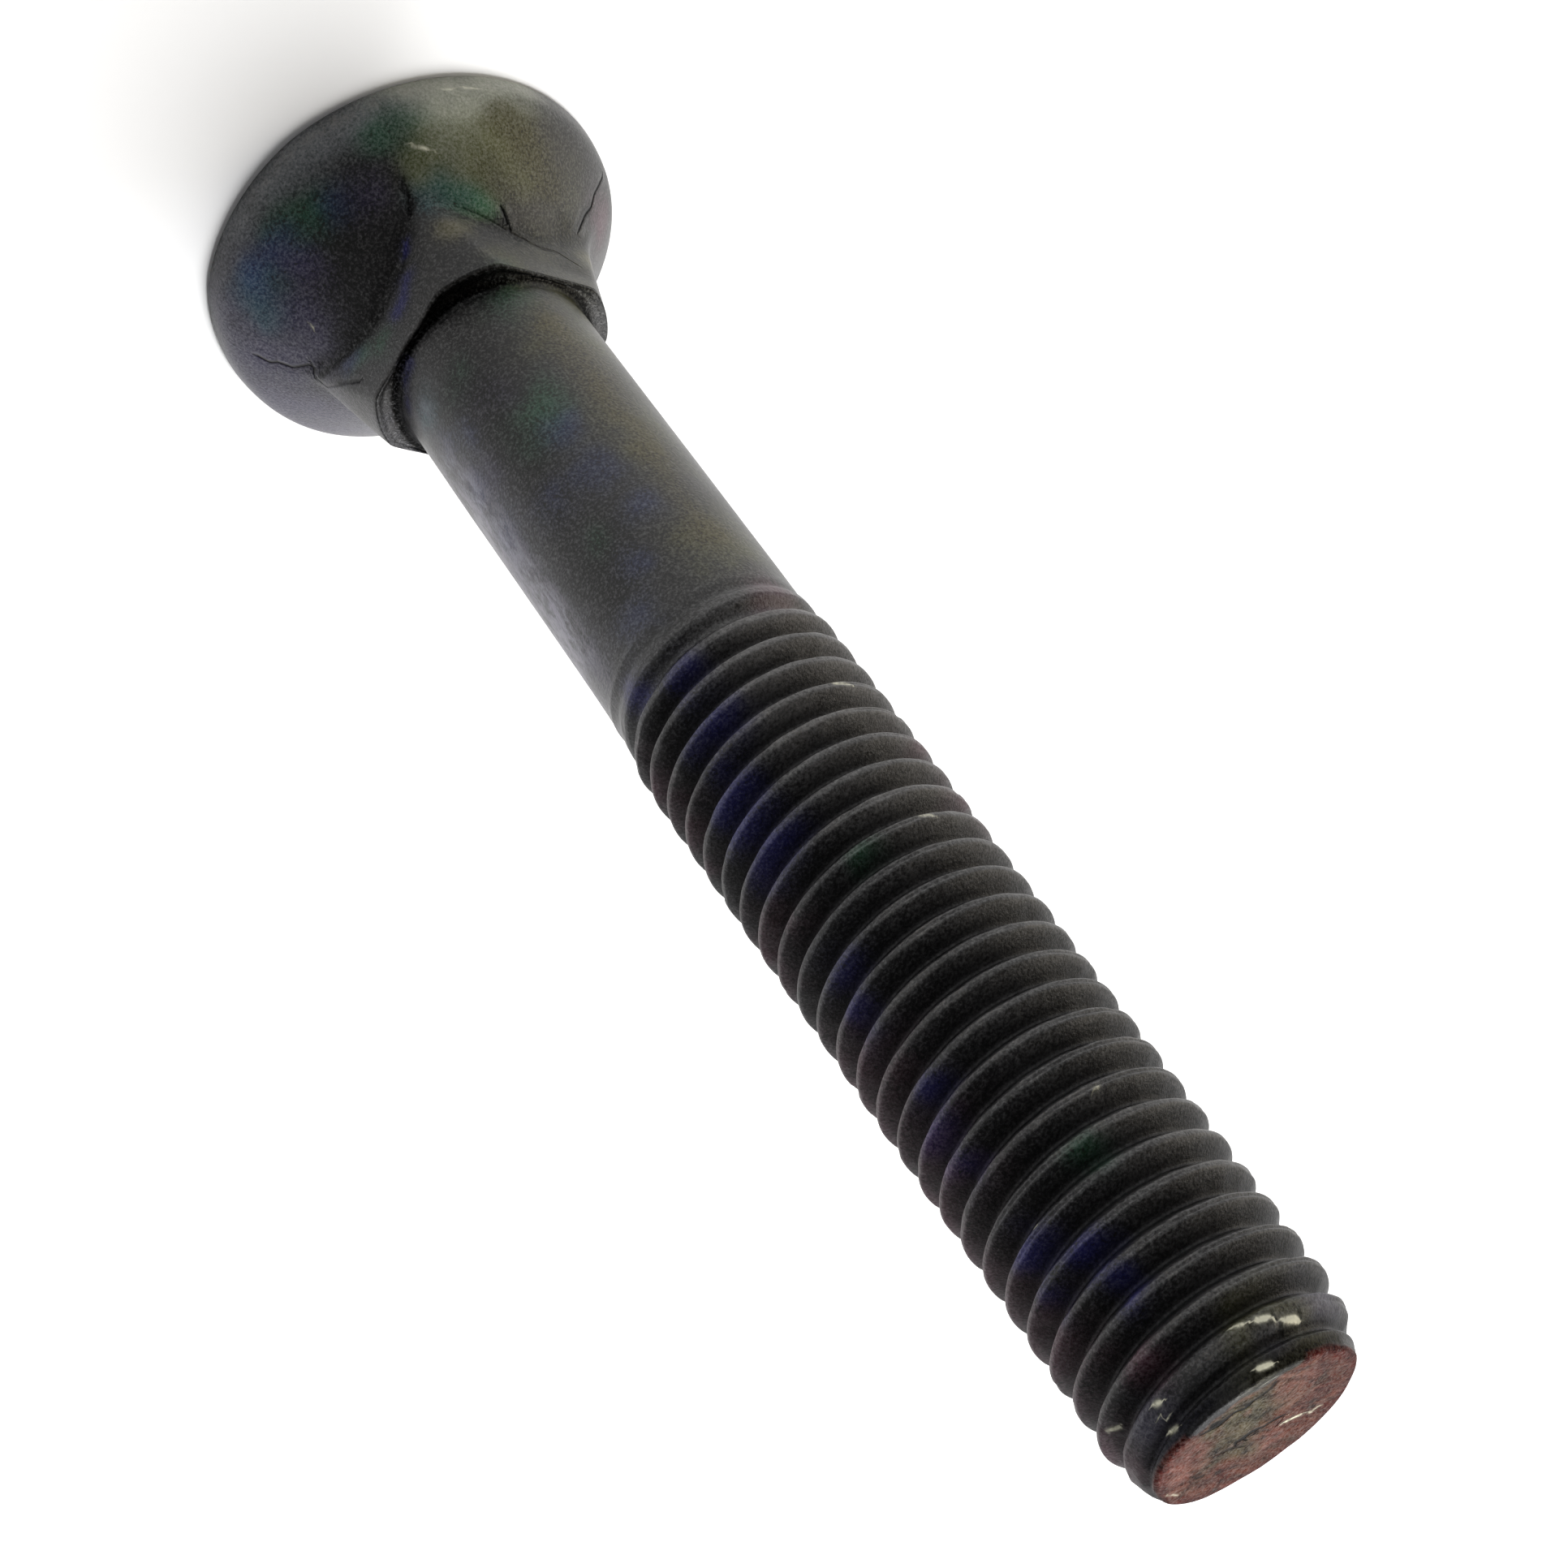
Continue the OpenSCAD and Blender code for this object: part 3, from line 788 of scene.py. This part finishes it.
    # relief: each pattern times the height in mm that its full range stands for. A lap has a groove, with
    # one lip raised and the other sunk.
    relief = addNode(tree, "ShaderNodeMath", {"operation": "MULTIPLY"}, {0: grain, 1: 0.032}).outputs[0]
    lip = addNode(tree, "ShaderNodeMapRange", {"interpolation_type": "SMOOTHSTEP"}, {
        "Value": marks["lapAndGlintSide"], "From Min": -finish["lipWidth"], "From Max": finish["lipWidth"],
        "To Min": -0.03, "To Max": 0.03}).outputs["Result"]
    tornDepth = addNode(tree, "ShaderNodeMath", {"operation": "MULTIPLY"}, {
        0: marks["bareEnd"], 1: 0.12}).outputs[0]
    for height, amount in ((mottle, 0.02), (lap, -0.10), (lip, marks["lapAndGlintDepth"]), (tear, tornDepth),
                           (wearAndHighlight, -0.01), (marks["shadeAndOil"], -0.05)):
        relief = addNode(tree, "ShaderNodeMath", {"operation": "MULTIPLY_ADD"}, {
            0: height, 1: amount, 2: relief}).outputs[0]
    bump = addNode(tree, "ShaderNodeBump", inputs={
        "Height": relief, "Distance": mm, "Strength": 1.0}).outputs["Normal"]

    satin = addNode(tree, "ShaderNodeMath", {"operation": "MULTIPLY_ADD"}, {
        0: mottle, 1: 0.16, 2: finish["roughness"]}).outputs[0]
    roughness = addNode(tree, "ShaderNodeMath", {"operation": "ADD"}, {
        0: satin, 1: marks["dullness"]}).outputs[0]
    metal = addNode(tree, "ShaderNodeMath", {"operation": "MULTIPLY_ADD", "use_clamp": True}, {
        0: marks["bareEnd"], 1: 0.9, 2: wearAndHighlight}).outputs[0]
    # the painted shade with the oil, the painted shade in the thread's grooves and the laps are black, and
    # as metal they take the shine with them
    for dark, share in ((marks["shadeAndOil"], 1.0), (marks["groove"], 0.5), (lap, 0.9)):
        metal = addNode(tree, "ShaderNodeMath", {"operation": "MULTIPLY_ADD", "use_clamp": True}, {
            0: dark, 1: share, 2: metal}).outputs[0]
    shader = addNode(tree, "ShaderNodeBsdfPrincipled", inputs={
        "Base Color": colours, "Metallic": metal, "Roughness": roughness, "IOR": finish["ior"],
        "Normal": bump})
    addNode(tree, "ShaderNodeOutputMaterial", inputs={"Surface": shader.outputs["BSDF"]})
    return material


forgedBolt.data.materials.append(blackOxideSteel(maskNames))
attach(forgedBolt, "root")
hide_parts("plow_bolt")
print("bolt: finish")


studio = {
    "floorSize": 0.8,        # m across
    "floorSides": 96,
    "floorColour": "#f7f7f7",
    "worldStrength": 0.9,
    # the camera looks at a place in mm from an azimuth and elevation, and is rolled by an angle
    "aim": (2.81, 5.40, 40.13),
    "azimuth": 59.17,
    "elevation": 33.96,
    "distance": 121.95,
    "roll": 144.1,
    "lens": 74.36,
    # softboxes: name, azimuth, elevation, distance and width in m, watts, colour
    "lights": [
        ("rightSoftbox", -50, 22, 0.6, 0.4, 1.05, "#fff2dc"),
        ("backSoftbox", 242, 62, 0.8, 0.6, 11, "#ffffff"),
    ],
    "lightAim": (0, 0, 0.035),
}


def towardsDirection(azimuth, elevation):
    a, e = np.radians(azimuth), np.radians(elevation)
    return Vector((np.cos(e) * np.cos(a), np.cos(e) * np.sin(a), np.sin(e)))


def layFloor():
    # a round sheet of matt white paper
    mesh = bpy.data.meshes.new("studioFloor")
    sides = studio["floorSides"]
    around = np.arange(sides) * turn / sides
    rim = studio["floorSize"] / 2 * np.stack([np.cos(around), np.sin(around), 0 * around], axis=-1)
    mesh.from_pydata(rim.tolist(), [], [list(range(sides))])
    floor = bpy.data.objects.new("studioFloor", mesh)
    bpy.context.scene.collection.objects.link(floor)
    material = bpy.data.materials.new("palePaper")
    material.use_nodes = True
    shader = material.node_tree.nodes["Principled BSDF"]
    shader.inputs["Base Color"].default_value = colour(studio["floorColour"])
    shader.inputs["Roughness"].default_value = 1.0
    shader.inputs["Specular IOR Level"].default_value = 0.0
    floor.data.materials.append(material)


def lightWorld():
    # soft white walls that darken towards the top: brightness by the sine of the elevation
    world = bpy.data.worlds.new("studio")
    bpy.context.scene.world = world
    world.use_nodes = True
    tree = world.node_tree
    tree.nodes.clear()
    direction = addNode(tree, "ShaderNodeTexCoord").outputs["Generated"]
    upwards = addNode(tree, "ShaderNodeSeparateXYZ", inputs={"Vector": direction}).outputs["Z"]
    walls = addNode(tree, "ShaderNodeValToRGB", inputs={"Fac": upwards}, stops=[
        (0.0, "#ffffff"), (0.28, "#e6e6e6"), (0.66, "#404040")]).outputs["Color"]
    background = addNode(tree, "ShaderNodeBackground", inputs={
        "Color": walls, "Strength": studio["worldStrength"]})
    addNode(tree, "ShaderNodeOutputWorld", inputs={"Surface": background.outputs["Background"]})


def addCamera():
    # looks at its aim, and is then rolled about its own line of sight
    back = towardsDirection(studio["azimuth"], studio["elevation"])
    right = Vector((0, 0, 1)).cross(back).normalized()
    up = back.cross(right)
    turned = Matrix((right, up, back)).transposed() @ Matrix.Rotation(np.radians(studio["roll"]), 3, "Z")
    camera = bpy.data.cameras.new("camera")
    camera.lens = studio["lens"]
    camera.sensor_width = 36
    camera.clip_start = 0.005
    thing = bpy.data.objects.new("camera", camera)
    bpy.context.scene.collection.objects.link(thing)
    stand = (Vector(studio["aim"]) + back * studio["distance"]) * mm
    thing.matrix_world = Matrix.Translation(stand) @ turned.to_4x4()
    bpy.context.scene.camera = thing


def addLight(name, azimuth, elevation, distance, size, watts, hexCode):
    # a round softbox that faces the middle of the bolt
    away = towardsDirection(azimuth, elevation)
    light = bpy.data.lights.new(name, "AREA")
    light.shape, light.size, light.energy = "DISK", size, watts
    light.color = colour(hexCode)[:3]
    thing = bpy.data.objects.new(name, light)
    bpy.context.scene.collection.objects.link(thing)
    thing.location = Vector(studio["lightAim"]) + away * distance
    thing.rotation_euler = away.to_track_quat("Z", "Y").to_euler()


layFloor()
lightWorld()
addCamera()
for softbox in studio["lights"]:
    addLight(*softbox)
bpy.context.scene.view_settings.view_transform = "Standard"
print("studio: floor, light and camera")
